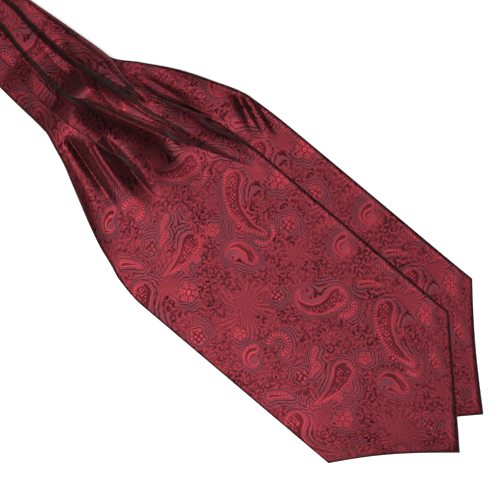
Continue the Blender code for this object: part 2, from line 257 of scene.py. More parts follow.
def alongRows(rows, number, y):
    # a smooth curve of y through one column of a table: cubic between rows, with slopes that are
    # the harmonic mean of the steps either side, or 0 at a peak, so that it never overshoots
    at = np.array([row[0] for row in rows], float)
    v = np.array([row[number] for row in rows], float)
    step = np.diff(at)
    rate = np.diff(v) / step
    product = rate[:-1] * rate[1:]
    total = np.where(product > 0, rate[:-1] + rate[1:], 1.0)
    slope = np.concatenate([rate[:1], np.where(product > 0, 2 * product / total, 0.0), rate[-1:]])
    k = np.clip(np.searchsorted(at, y) - 1, 0, len(at) - 2)
    t = np.clip((y - at[k]) / step[k], 0, 1)
    rise = v[k + 1] - v[k]
    lean = slope[k] * step[k] * (1 - t) - slope[k + 1] * step[k] * t
    return v[k] + rise * t + t * (1 - t) * (lean - (1 - 2 * t) * rise)


def ease(t):
    # 6t^5 - 15t^4 + 10t^3, held at 0 and 1
    t = np.clip(t, 0, 1)
    return t * t * t * (t * (6 * t - 15) + 10)


def turnPoint(shut, length, share):
    # where an arc of this length ends that starts level and turns through shut x share half-turns
    angle = math.pi * shut * share
    along = length * share * np.sinc(angle / math.pi)
    rise = length * share * np.sin(angle / 2) * np.sinc(angle / 2 / math.pi)
    return along, rise


def pleatSizes(blade, number, y):
    # at each height: the fold's edge, how far it is shut, its turn, its straight, how far it
    # reaches across from its foot and how high it stands
    rows = blade["folds"][number]
    turnFlat, straightFlat, power = blade["opening"][:3]
    shut = np.clip(alongRows(rows, 2, y), 0, 1)
    turn = turnFlat + (math.pi * cloth["foldRadius"] - turnFlat) * shut
    straight = straightFlat + alongRows(rows, 3, y) * shut**power
    along, rise = turnPoint(shut, turn, 1.0)
    reach = 2 * along + straight * np.cos(math.pi * shut)
    height = 2 * rise + straight * np.sin(math.pi * shut)
    return alongRows(rows, 1, y), shut, turn, straight, reach, height


def tallestFold(blade, y):
    # the height of the highest of the three folds
    return np.max([pleatSizes(blade, number, y)[5] for number in range(3)], axis=0)


def acrossTheCloth(blade, y, under, samples):
    # the middle of the wall as x and z for every height (rows) and step across (columns): level
    # from the left edge, then at each pleat an arc up, a straight back and an arc over, and an
    # eased descent to the next foot. under = 1 keeps the outer stripes at the folds' level
    pleats = [pleatSizes(blade, number, y) for number in range(3)]
    late, lateRight = blade["opening"][3:]
    startX, startZ = alongRows(blade["outline"], 1, y), under * pleats[0][5]
    right = alongRows(blade["outline"], 2, y)
    lead = np.full_like(y, cloth["flatLead"])
    xs, zs = [], []
    for number, (edge, shut, turn, straight, reach, height) in enumerate(pleats):
        foot = edge - reach
        last = foot - np.maximum(-reach, 0) - cloth["flatLead"]
        first = startX + lead
        share = np.linspace(0, 1, samples["left"] if number == 0 else samples["stripe"])[:, None]
        share = (1 + cloth["footCrowd"]) * share / (1 + cloth["footCrowd"] * share)
        xs += [startX[None], first + (last - first) * share, foot[None]]
        zs += [startZ[None], startZ * (1 - ease(share**late)), 0 * foot[None]]
        part = np.linspace(0, 1, samples["turn"] + 1)[1:, None]
        along, rise = turnPoint(shut, turn, part)
        xs.append(foot + along)
        zs.append(rise)
        endAlong, endRise = along[-1], rise[-1]
        part = np.linspace(0, 1, samples["straight"] + 1)[1:, None]
        xs.append(foot + endAlong + straight * part * np.cos(math.pi * shut))
        zs.append(endRise + straight * part * np.sin(math.pi * shut))
        part = np.linspace(1, 0, samples["turn"] + 1)[1:-1, None]
        along, rise = turnPoint(shut, turn, part)
        xs.append(edge - along)
        zs.append(height - rise)
        startX, startZ = edge, height
        lead = np.maximum(-reach, 0) + cloth["flatLead"]
    share = np.linspace(0, 1, samples["right"] + 1)[:, None]
    xs.append(startX + (right - startX) * share)
    zs.append(startZ * (1 - (1 - under) * ease(share**lateRight)))
    return np.concatenate(xs).T, np.concatenate(zs).T


def gathers(blade, x, y):
    # a bell-shaped hill, plus e^-(distance^1.5) from the bowed line of each trough and
    # e^-(distance^4) from that of each ridge, in half widths that differ from side to side. Each
    # rises fast along its line, dies away slowly and widens, and the sum bottoms out softly at 0
    shape = creaseShape
    hillX, hillY, across, along, hillHeight = blade["hill"]
    total = hillHeight * np.exp(-(((x - hillX) / across) ** 2) - ((y - hillY) / along) ** 2)
    for x0, y0, x1, y1, bow, left, right, height in blade["creases"]:
        runX, runY = x1 - x0, y1 - y0
        length = math.hypot(runX, runY)
        share = np.clip(((x - x0) * runX + (y - y0) * runY) / length**2, 0, 1)
        aside = 4 * bow * share * (1 - share) / length
        awayX = x - x0 - runX * share + runY * aside
        awayY = y - y0 - runY * share - runX * aside
        width = np.where(awayY * runX > awayX * runY, right, left)
        width = width * (shape["narrow"] + shape["widening"] * share)
        away = np.hypot(awayX, awayY) / width
        power = shape["ridgePower"] if height > 0 else shape["troughPower"]
        total += height * np.sin(math.pi * share ** shape["onset"]) * np.exp(-(away**power))
    return (total + np.sqrt(total**2 + shape["blur"] ** 2) - shape["blur"]) / 2


def layOnBack(x, y, rowY):
    # the front blade's base: the back blade's top inside its outline, eased down to the table
    # outside
    top = tallestFold(backBlade, rowY) + cloth["wall"] + cloth["layerGap"]
    top = top + gathers(backBlade, x, y)
    fromSide = x - alongRows(backBlade["outline"], 1, y)
    fromPoint = ((x - backTip[0]) + (y - backTip[1])) / math.sqrt(2)
    inside = np.minimum(fromSide, fromPoint)
    held = ease(1 + (inside + cloth["drapeLedge"]) / cloth["drapeRamp"])
    liftFrom, liftOver = cloth["throatLift"]
    throat = ease((y - liftFrom) / liftOver)
    return top * (held + (1 - held) * throat)


def rowHeights(tipY, pointRows, bladeRows, throatRows, bandRows):
    # heights of a blade's rows, evenly spaced in each of its four stretches
    return np.concatenate([
        np.linspace(tipY, cloth["chevronTop"], pointRows),
        np.linspace(cloth["chevronTop"], cloth["flareY"], bladeRows + 1)[1:],
        np.linspace(cloth["flareY"], cloth["throatY"], throatRows + 1)[1:],
        np.linspace(cloth["throatY"], cloth["seamY"], bandRows + 1)[1:],
    ])


def bladeSurface(blade, rowY, under):
    # middle of a blade's wall: rows follow the point's two slopes and grow level above it
    tipX, tipY = blade["tip"]
    x, z = acrossTheCloth(blade, rowY, under, blade["samples"])
    slope = np.clip((cloth["chevronTop"] - rowY) / (cloth["chevronTop"] - tipY), 0, 1)[:, None]
    reach = np.abs(x - tipX)
    dip = np.where(x < tipX, *blade["dips"]) * np.sin(np.clip(reach / halfWidth, 0, 1) * math.pi)
    y = rowY[:, None] + slope * (reach + dip)
    if under:
        z = tallestFold(blade, rowY)[:, None] - z
    else:
        z = z + layOnBack(x, y, rowY[:, None])
    z = z + gathers(blade, x, y) + cloth["wall"] / 2
    return np.stack([x, y, z], axis=2)


def neckSurface():
    # middle of the neckband's wall: out along the top run, half a circle round, back along the
    # table
    stack = 4 * cloth["foldRadius"] + cloth["wall"]
    centreY = cloth["neckY"] - cloth["bendRadius"] - stack
    centreZ = stack + cloth["bendRadius"]
    run = np.linspace(cloth["seamY"] + cloth["seamGap"], centreY, neckband["runRows"])
    lift = ease((run - run[0]) / (run[-1] - run[0]))
    low, high = stack + cloth["layerGap"], centreZ + cloth["bendRadius"]
    bend = np.linspace(0, math.pi, neckband["bendRows"] + 2)[1:-1]
    y = np.concatenate([run, centreY + cloth["bendRadius"] * np.sin(bend), run[::-1]])
    z = np.concatenate([
        low + (high - low) * lift,
        centreZ + cloth["bendRadius"] * np.cos(bend),
        np.full(len(run), stack),
    ])
    angle = np.concatenate([0 * run, bend, 0 * run + math.pi])
    rowY = np.concatenate([run, 0 * bend + centreY, run[::-1]])
    x, rise = acrossTheCloth(frontBlade, rowY, ease(angle / math.pi), neckband["samples"])
    rise = rise + cloth["wall"] / 2
    up, out = np.cos(angle)[:, None], np.sin(angle)[:, None]
    return np.stack([x, y[:, None] + out * rise, z[:, None] + up * rise], axis=2)


def lengthAlong(grid, axis):
    # distance travelled over the cloth from its first row or column: the sum of the steps
    steps = np.linalg.norm(np.diff(grid, axis=axis), axis=2)
    start = np.zeros_like(np.take(steps, [0], axis=axis))
    return np.concatenate([start, np.cumsum(steps, axis=axis)], axis=axis)


def clothPlaces(grid, startAlong=None):
    # where each point was on the flat cloth: distance across from the middle, and distance up
    across = lengthAlong(grid, 1)
    across = across - across[:, -1:] / 2
    along = lengthAlong(grid, 0)
    along = along + (grid[0, :, 1] if startAlong is None else startAlong)
    return np.stack([across, along], axis=2)


def thickCloth(grid, openRows):
    # both faces of the wall: half its thickness each side of its middle, less by a quarter circle
    # towards the free edges, and raised a little over the seam that runs inside them. openRows
    # holds True where the first row is a free edge as the sides are, and False where the last is
    normal = np.cross(np.gradient(grid, axis=1), np.gradient(grid, axis=0))
    normal /= np.linalg.norm(normal, axis=2, keepdims=True)
    across = lengthAlong(grid, 1)
    fromEdge = np.minimum(across, across[:, -1:] - across)
    for first in openRows:
        inward = lengthAlong(grid if first else grid[::-1], 0)
        fromEdge = np.minimum(fromEdge, (inward if first else inward[::-1]) / math.sqrt(2))
    near = np.clip(1 - fromEdge / cloth["edgeRound"], 0, 1)
    left = np.sqrt(np.maximum(1 - near**2, cloth["edgeLeast"]))
    half = cloth["wall"] / 2 * left[..., None]
    fromRoll = (fromEdge - cloth["rollInside"]) / cloth["rollWidth"]
    roll = cloth["edgeRoll"] * np.exp(-(fromRoll**2))[..., None]
    return grid + normal * (half + roll), grid - normal * half, fromEdge


def closedFaces(rows, columns):
    # quads over the top face, under the lower one and round the four edges
    top = np.arange(rows * columns).reshape(rows, columns)
    low = top + rows * columns

    def quads(a, b, c, d):
        return np.stack([a, b, c, d], axis=-1).reshape(-1, 4)

    return np.concatenate([
        quads(top[:-1, :-1], top[:-1, 1:], top[1:, 1:], top[1:, :-1]),
        quads(low[1:, :-1], low[1:, 1:], low[:-1, 1:], low[:-1, :-1]),
        quads(low[0, :-1], low[0, 1:], top[0, 1:], top[0, :-1]),
        quads(top[-1, :-1], top[-1, 1:], low[-1, 1:], low[-1, :-1]),
        quads(top[:-1, 0], top[1:, 0], low[1:, 0], low[:-1, 0]),
        quads(low[:-1, -1], low[1:, -1], top[1:, -1], top[:-1, -1]),
    ])


def layPiece(name, grid, places, openRows, material):
    # a piece of cloth as one closed mesh, with its flat places as UV and its distance from an edge
    rows, columns = grid.shape[:2]
    top, low, fromEdge = thickCloth(grid, openRows)
    points = np.concatenate([top.reshape(-1, 3), low.reshape(-1, 3)])
    points[:, 2] = np.maximum(points[:, 2], 0)  # flat where it rests
    points += (middleX, middleY, 0)
    faces = closedFaces(rows, columns)
    mesh = bpy.data.meshes.new(name)
    mesh.from_pydata((points * mm).tolist(), [], faces.tolist())
    flat = np.concatenate([places.reshape(-1, 2), places.reshape(-1, 2)])
    uv = mesh.uv_layers.new(name="clothPlace")
    corner = np.empty(len(mesh.loops), np.int32)
    mesh.loops.foreach_get("vertex_index", corner)
    uv.data.foreach_set("uv", (flat[corner] / uvUnit).ravel())
    edge = mesh.attributes.new("fromEdge", "FLOAT", "POINT")
    edge.data.foreach_set("value", np.concatenate([fromEdge, fromEdge]).ravel())
    mesh.shade_smooth()
    mesh.materials.append(material)
    piece = bpy.data.objects.new(name, mesh)
    bpy.context.scene.collection.objects.link(piece)
    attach(piece, "root")
    print(name, "laid:", len(faces), "quads")
    return piece


class Wire:
    # a number or vector on its way through a node tree: sums written with it become Math nodes
    def __init__(self, socket):
        self.socket = socket
        self.tree = socket.id_data

    def math(self, kind, *others, clamp=False):
        made = self.tree.nodes.new("ShaderNodeMath")
        made.operation = kind
        made.use_clamp = clamp
        for number, value in enumerate((self, *others)):
            plug(made.inputs[number], value)
        return Wire(made.outputs[0])

    def vector(self, kind, *others):
        made = self.tree.nodes.new("ShaderNodeVectorMath")
        made.operation = kind
        for number, value in enumerate((self, *others)):
            plug(made.inputs[number], value)
        return Wire(made.outputs["Value" if kind == "LENGTH" else "Vector"])

    def parts(self):
        made = self.tree.nodes.new("ShaderNodeSeparateXYZ")
        plug(made.inputs[0], self)
        return [Wire(socket) for socket in made.outputs]

    def __add__(self, other):
        return self.math("ADD", other)

    def __sub__(self, other):
        return self.math("SUBTRACT", other)

    def __mul__(self, other):
        return self.math("MULTIPLY", other)

    def __truediv__(self, other):
        return self.math("DIVIDE", other)

    def below(self, edge):
        return self.math("LESS_THAN", edge)

    def above(self, edge):
        return self.math("GREATER_THAN", edge)

    def within(self, low, high):
        return self.math("COMPARE", (low + high) / 2, (high - low) / 2)

    def orElse(self, other):
        return self.math("MAXIMUM", other)

    def flipped(self):
        return self.math("MULTIPLY_ADD", -1.0, 1.0)


def plug(socket, value):
    if isinstance(value, Wire):
        value.tree.links.new(value.socket, socket)
    else:
        socket.default_value = value


def startGroup(name, given, results):
    # an empty node group: its wires by name, and the node that takes its results
    tree = bpy.data.node_groups.new(name, "ShaderNodeTree")
    for label in given:
        kind = "NodeSocketVector" if label in ("Place", "Centre") else "NodeSocketFloat"
        tree.interface.new_socket(name=label, in_out="INPUT", socket_type=kind)
    for label in results:
        tree.interface.new_socket(name=label, in_out="OUTPUT", socket_type="NodeSocketFloat")
    entry = tree.nodes.new("NodeGroupInput")
    return {label: Wire(entry.outputs[label]) for label in given}, tree.nodes.new("NodeGroupOutput")


def useGroup(place, group, **values):
    made = place.tree.nodes.new("ShaderNodeGroup")
    made.node_tree = bpy.data.node_groups[group]
    plug(made.inputs["Place"], place)
    for label, value in values.items():
        plug(made.inputs[label], value)
    return [Wire(socket) for socket in made.outputs]


paisley = {
    "repeat": (113.0, 157.0),  # across and along the cloth
    "lean": 3.0 / 113.0,  # each repeat sits a little higher than its left neighbour
    # a comma winds round its pole: heading from the pole to the head, radius there, whether it
    # winds left (1) or right (-1), its sweep, how fast it winds in, half width of the head, taper
    # to the tail
    "commas": [
        ((62.0, 14.0), 122, 32.0, 1, 92, -0.10, 8.0, 0.45),
        ((-28.4, 76.3), -70, 45.0, -1, 46, 0.02, 8.5, 0.8),
        ((16.0, 98.0), -61, 27.0, -1, 250, 0.5, 8.0, 1.9),
        ((-1.0, 3.0), -54, 17.0, 1, 235, 0.42, 5.0, 1.3),
        ((-20.0, 28.0), 96, 27.0, 1, 24, 0.0, 2.4, 0.5),
        ((-8.0, 40.0), 104, 24.0, 1, 30, 0.0, 2.2, 0.5),
        ((62.0, 96.0), 40, 9.0, 1, 290, 0.16, 3.4, 0.8),
        ((30.0, 44.0), 52, 30.0, -1, 36, 0.0, 3.0, 0.6),
    ],
    # blossoms: centre, radius of the petals and how many
    "blossoms": [
        ((6.0, 28.0), 4.8, 5),
        ((-43.0, 117.0), 4.4, 5),
        ((-31.0, 26.0), 3.6, 5),
        ((-20.0, 24.0), 3.2, 5),
        ((-44.0, 12.0), 7.6, 6),
    ],
    # clusters of round berries: centre and radius
    "clusters": [
        ((47.0, 141.0), 6.5),
        ((-1.0, 113.0), 5.5),
        ((-38.0, 58.0), 5.5),
        ((22.0, 12.0), 5.0),
    ],
    # rows of beads or ribs round a centre: heading of the middle, radius, spread, how many in a
    # full turn, half length outwards and half width of each
    "rounds": [
        ((29.5, -4.0), 262, 8.6, 168, 24, 1.2, 0.9),
        ((-30.0, 88.0), 5, 8.0, 230, 22, 2.0, 0.75),
        ((27.0, 66.0), 262, 7.5, 130, 22, 1.7, 0.8),
    ],
    # sprays of fine strokes: centre, reach, strokes in a full turn and their swirl
    "sprays": [
        ((-26.0, 126.0), 24.0, 30, 1.6),
        ((62.0, 30.0), 20.0, 26, -1.4),
        ((33.0, 122.0), 14.0, 18, 2.4),
        ((-18.0, -26.0), 17.0, 22, -1.8),
    ],
    # mm from one to the next: berries, beads and rings in a comma's core, ribs of its rim, echo
    # lines round a motif, scrolls of the fill and the lines of a scroll
    "berryStep": 3.4,
    "beadStep": 2.3,
    "coreStep": 1.7,
    "ribStep": 1.9,
    "echoStep": 2.2,
    "scrollCell": 7.0,
    "scrollStep": 2.5,
    # mm from a comma's outline, below 0 inside it
    "rim": (-3.0, -0.3),
    "innerLine": (-1.1, -0.3),
    "core": -3.6,
    # where an echo line is mauve and how much of it is dark
    "mauveBand": (0.8, 1.7),
    "darkBand": 0.6,
    # noises that move motifs aside: fineness, detail and reach in mm
    "wobble": (0.16, 1.0, 2.4),
    "ragged": (0.5, 2.0, 2.6),
    # noises that let an effect come and go over the cloth: fineness, detail, contrast and start
    "patches": {
        "glow": (0.06, 1.0, 3.2, -0.95),
        "reach": (0.045, 0.0, 26.0, -8.0),
        "fill": (0.07, 1.0, 5.0, -1.9),
        "flecks": (0.3, 4.0, 16.0, -8.7),
        "tone": (0.028, 2.0, 2.6, -0.85),
        "flush": (0.05, 2.0, 4.0, -1.7),
    },
    "worn": (0.3, 2.0, 1.6),  # wear of the lines: fineness, detail and mm that it moves them
    # how strongly each part colours the cloth
    "strength": {
        "mauve": 0.9,
        "halo": 0.55,
        "dark": 0.97,
        "litScroll": 0.35,
        "litStroke": 0.35,
        "darkStroke": 0.45,
    },
    "ground": (0.122, 0.0157, 0.0224, 1),
    "mauve": (0.082, 0.0275, 0.0385, 1),
    "shade": (0.0085, 0.0021, 0.0030, 1),
    "satin": (0.250, 0.0225, 0.0340, 1),
}

silkFinish = {
    "roughness": 0.35,
    "satinRoughness": 0.27,
    "metallic": 0.85,
    "specular": 0.15,
    "specularTint": (0.50, 0.16, 0.20, 1),  # of the silk seen along its surface
    "sheen": 0.15,
    "sheenRoughness": 0.5,
    "edgeShadeFade": 0.55,  # how fast the painted edge shade ends, for each mm
    # relief: mm from one twill line to the next, fineness and detail of the noises, heights in mm
    "twillStep": 0.6,
    "threadNoise": (1.1, 2.0),
    "waveNoise": (0.05, 1.0),
    "twill": 0.03,
    "threads": 0.10,
    "waves": 1.2,
    "bump": 0.5,
}


def spotInRepeat(given, heading=None):
    # the place measured from the nearest copy of the centre, with X turned to the heading
    wide, high = paisley["repeat"]
    away = given["Place"].vector("SUBTRACT", given["Centre"])
    near = away.vector("WRAP", (wide / 2, high / 2, 1), (-wide / 2, -high / 2, -1))
    if heading is None:
        return near
    made = near.tree.nodes.new("ShaderNodeVectorRotate")
    made.rotation_type = "Z_AXIS"
    made.invert = True
    plug(made.inputs["Vector"], near)
    plug(made.inputs["Angle"], heading)
    return Wire(made.outputs[0])


def commaGroup():
    # a comma on a winding spine, r = radius e^(-tighten angle): distance to its outline is the
    # distance to the spine less a width that tapers from head to tail; travel runs along the rim
    # and is negative on the inside of the bend. Angles are cut 1.2 radians behind the head
    given, leave = startGroup(
        "paisleyComma",
        ["Place", "Centre", "Heading", "Radius", "Wind", "Sweep", "Tighten", "Width", "Taper"],
        ["Distance", "Travel"],
    )
    spot = spotInRepeat(given, given["Heading"])
    x, y = spot.parts()[:2]
    far = spot.vector("LENGTH")
    angle = (y * given["Wind"]).math("ARCTAN2", x).math("WRAP", 2 * math.pi - 1.2, -1.2)
    run = angle.math("MAXIMUM", 0.0).math("MINIMUM", given["Sweep"])
    beyond = far * (angle - run)
    aside = far * ((far / given["Radius"]).math("LOGARITHM", math.e) + given["Tighten"] * run)
    width = given["Width"] * (run / given["Sweep"]).flipped().math("POWER", given["Taper"])
    away = (beyond * beyond + aside * aside).math("SQRT")
    turn = beyond.math("ARCTAN2", aside.math("ABSOLUTE"))
    travel = run * given["Radius"] + turn * given["Width"] + 60 * paisley["ribStep"]
    plug(leave.inputs["Distance"], away - width)
    plug(leave.inputs["Travel"], travel * aside.math("SIGN"))


def blossomGroup():
    # petals: the outline is r = radius (0.72 + 0.28 |cos(petals angle / 2)|), with a dark line
    # between petals, finer lines up each petal and a bead in the heart
    given, leave = startGroup(
        "paisleyBlossom", ["Place", "Centre", "Radius", "Petals"], ["Distance", "Bright"]
    )
    spot = spotInRepeat(given)
    x, y = spot.parts()[:2]
    far = spot.vector("LENGTH") / given["Radius"]
    around = y.math("ARCTAN2", x) * given["Petals"]
    lobe = (around * 0.5).math("COSINE").math("ABSOLUTE")
    edge = far - lobe.math("MULTIPLY_ADD", 0.28, 0.72)
    split = lobe.below(0.22) * far.above(0.3)
    veins = (around * 4.0).math("COSINE").below(-0.55) * far.above(0.5)
    dark = split.orElse(veins).orElse(far.within(0.26, 0.40))
    plug(leave.inputs["Distance"], edge * given["Radius"])
    plug(leave.inputs["Bright"], edge.below(0) * dark.flipped())


def roundGroup():
    # beads or ribs: equal steps round a circle, each an ellipse, within the spread from the
    # heading
    given, leave = startGroup(
        "paisleyRound",
        ["Place", "Centre", "Heading", "Radius", "Spread", "Step", "Outward", "Sideward"],
        ["Distance", "Bright"],
    )
    spot = spotInRepeat(given, given["Heading"])
    x, y = spot.parts()[:2]
    angle = y.math("ARCTAN2", x)
    outside = (angle.math("ABSOLUTE") - given["Spread"]).math("MAXIMUM", 0) * given["Radius"]
    half = given["Step"] * 0.5
    side = angle.math("WRAP", half, half * -1) * given["Radius"] / given["Sideward"]
    out = spot.vector("LENGTH") - given["Radius"]
    high = out / given["Outward"]
    bead = side * side + high * high
    distance = out.math("ABSOLUTE") - given["Outward"] + outside * 2
    plug(leave.inputs["Distance"], distance)
    plug(leave.inputs["Bright"], bead.below(1.0) * distance.below(0.5))


def clusterGroup():
    # distance to the edge of a round cluster, r = radius (0.88 + 0.12 sin(5 angle))
    given, leave = startGroup("paisleyCluster", ["Place", "Centre", "Radius"], ["Distance"])
    spot = spotInRepeat(given)
    x, y = spot.parts()[:2]
    lobes = (y.math("ARCTAN2", x) * 5.0).math("SINE") * 0.12
    plug(leave.inputs["Distance"], spot.vector("LENGTH") - given["Radius"] * (lobes + 0.88))


def sprayGroup():
    # fine strokes that fan out: cos(strokes angle + 6 swirl distance), inside the lobed edge
    # r = reach (0.7 - 0.3 cos(5 angle + swirl distance))
    given, leave = startGroup(
        "paisleySpray", ["Place", "Centre", "Reach", "Strokes", "Swirl"], ["Distance", "Stroke"]
    )
    spot = spotInRepeat(given)
    x, y = spot.parts()[:2]
    far = spot.vector("LENGTH") / given["Reach"]
    angle = y.math("ARCTAN2", x)
    wave = (angle * given["Strokes"] + far * given["Swirl"] * 6.0).math("COSINE")
    lobes = (angle * 5.0 + far * given["Swirl"]).math("COSINE") * 0.3
    distance = (far + lobes - 0.7) * given["Reach"]
    plug(leave.inputs["Distance"], distance)
    plug(leave.inputs["Stroke"], wave * distance.below(0))


def mixed(mask, first, second):
    made = mask.tree.nodes.new("ShaderNodeMix")
    made.data_type = "RGBA"
    plug(made.inputs[0], mask)
    plug(made.inputs[6], first)
    plug(made.inputs[7], second)
    return Wire(made.outputs[2])


def texture(kind, place, output, **values):
    made = place.tree.nodes.new(kind)
    plug(made.inputs["Vector"], place)
    for label, value in values.items():
        made.inputs[label.capitalize()].default_value = value
    return Wire(made.outputs[output])


def noise(place, **values):
    return texture("ShaderNodeTexNoise", place, "Fac", **values)


def voronoi(place, output, **values):
    return texture("ShaderNodeTexVoronoi", place, output, **values)


def paintedEdgeShade(tree):
    # painted shade: 1 along the turned edge of the cloth, fading out within a millimetre or two, so
    # that the edge is coloured dark as if it were in shade
    made = tree.nodes.new("ShaderNodeAttribute")
    made.attribute_name = "fromEdge"
    fade = silkFinish["edgeShadeFade"]
    return Wire(made.outputs["Fac"]).math("MULTIPLY_ADD", -fade, 1.0, clamp=True)


def drawCommas(place):
    # the nearest comma at each place: distance to its outline and travel along its rim
    nearest, rim = None, None
    for pole, heading, radius, wind, sweep, tighten, width, taper in paisley["commas"]:
        distance, travel = useGroup(
            place, "paisleyComma", Centre=(*pole, 0), Heading=math.radians(heading), Radius=radius,
            Wind=wind, Sweep=math.radians(sweep), Tighten=tighten, Width=width, Taper=taper,
        )
        if nearest is None:
            nearest, rim = distance, travel
        else:
            nearer = distance.below(nearest)
            rim = rim + (travel - rim) * nearer
            nearest = distance.math("MINIMUM", nearest)
    return nearest, rim


def drawBlossoms(place):
    # blossoms, beads and ribs: distance to the nearest one and all their bright parts
    nearest, bright = None, None
    for centre, radius, petals in paisley["blossoms"]:
        found = useGroup(place, "paisleyBlossom", Centre=(*centre, 0), Radius=radius, Petals=petals)
        nearest = found[0] if nearest is None else nearest.math("MINIMUM", found[0])
        bright = found[1] if bright is None else bright.orElse(found[1])
    for centre, heading, radius, spread, count, outward, sideward in paisley["rounds"]:
        found = useGroup(
            place, "paisleyRound", Centre=(*centre, 0), Heading=math.radians(heading),
            Radius=radius, Spread=math.radians(spread) / 2, Step=2 * math.pi / count,
            Outward=outward, Sideward=sideward,
        )
        nearest = nearest.math("MINIMUM", found[0])
        bright = bright.orElse(found[1])
    berries = voronoi(place, "Distance", scale=1 / paisley["berryStep"], randomness=0.3)
    for centre, radius in paisley["clusters"]:
        distance, = useGroup(place, "paisleyCluster", Centre=(*centre, 0), Radius=radius)
        nearest = nearest.math("MINIMUM", distance)
        bright = bright.orElse(distance.below(0) * berries.within(0.1, 0.37))
    return nearest, bright


def drawSprays(place):
    # distance to the nearest spray's edge and the wave of all their strokes
    nearest, stroke = None, None
    for centre, reach, strokes, swirl in paisley["sprays"]:
        found = useGroup(
            place, "paisleySpray", Centre=(*centre, 0), Reach=reach, Strokes=strokes, Swirl=swirl
        )
        nearest = found[0] if nearest is None else nearest.math("MINIMUM", found[0])
        stroke = found[1] if stroke is None else stroke + found[1]
    return nearest, stroke


def shaken(place, flat, name):
    # a place moved aside by a noise on the flat cloth, up to half its reach either way
    scale, detail, reach = paisley[name]
    by = texture("ShaderNodeTexNoise", flat, "Color", scale=scale, detail=detail)
    aside = by.vector("SUBTRACT", (0.5, 0.5, 0.5)).vector("MULTIPLY", (reach, reach, 0))
    return place.vector("ADD", aside)


def patchy(place, name, clamp=True):
    # a noise stretched to its contrast
    scale, detail, contrast, start = paisley["patches"][name]
    found = noise(place, scale=scale, detail=detail)
    return found.math("MULTIPLY_ADD", contrast, start, clamp=clamp)


def drawSatin(place, comma, rim, bloomed):
    # ribbed rims on the outside of the bend only, beads in the cores, blossoms and their beads
    beads = voronoi(place, "Distance", scale=1 / paisley["beadStep"], randomness=0.35).below(0.34)
    ribbed = (rim * (2 * math.pi / paisley["ribStep"])).math("COSINE").below(0.6)
    outer = rim.above(0)
    rimBand = comma.within(*paisley["rim"]) * ribbed * outer
    innerLine = comma.within(*paisley["innerLine"]) * outer.flipped()
    coreBeads = comma.below(paisley["core"]) * beads
    inside = comma.below(0.0)
    bright = rimBand.orElse(innerLine).orElse(coreBeads).orElse(bloomed * inside.flipped())
    return bright * patchy(place, "glow").math("MULTIPLY_ADD", 0.55, 0.45)


def drawScrolls(ragged):
    # the fill: in each cell a scroll, or a pinwheel of five strokes, as a wave from -1 to 1
    cell = voronoi(ragged, "Position", scale=1 / paisley["scrollCell"], randomness=0.85)
    chance = Wire(cell.socket.node.outputs["Color"]).parts()
    away = ragged.vector("SUBTRACT", cell)
    awayX, awayY = away.parts()[:2]
    pinwheel = chance[1].below(0.35)
    wind = chance[0].above(0.5) * 2.0 - 1.0
    arms = wind + (wind * 4.0) * pinwheel
    pitch = pinwheel.math("MULTIPLY_ADD", -1.5, 2 * math.pi / paisley["scrollStep"])
    swing = awayY.math("ARCTAN2", awayX) * arms + away.vector("LENGTH") * pitch + chance[2] * 6.28
    return swing.math("COSINE")


